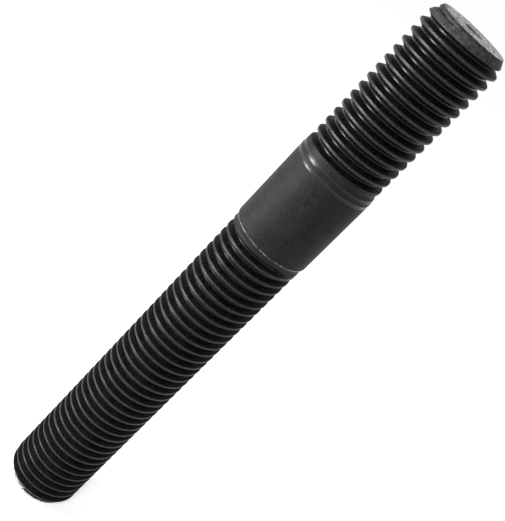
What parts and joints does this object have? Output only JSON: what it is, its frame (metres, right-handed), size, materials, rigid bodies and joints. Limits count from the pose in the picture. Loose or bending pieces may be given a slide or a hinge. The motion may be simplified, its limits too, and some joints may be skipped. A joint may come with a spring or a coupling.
{
  "type": "double ended stud",
  "caption": "Round bar with a right-hand thread on each end, one short and one long, and a plain shank between; its end faces are chamfered and the top one has a centre hole.",
  "frame": {"origin": "on the stud's axis, in the flat end face of the long threaded end, which the stud stands on", "axes": "+Z along the stud's axis from the long threaded end up to the short one; -Y is the side that the camera faces"},
  "size_m": [0.0222, 0.0222, 0.1778],
  "materials": {
    "black_steel": "matt black oxide on steel, end face lighter"
  },
  "bodies": {
    "root": {"stud": "black_steel"}
  },
  "joints": []
}
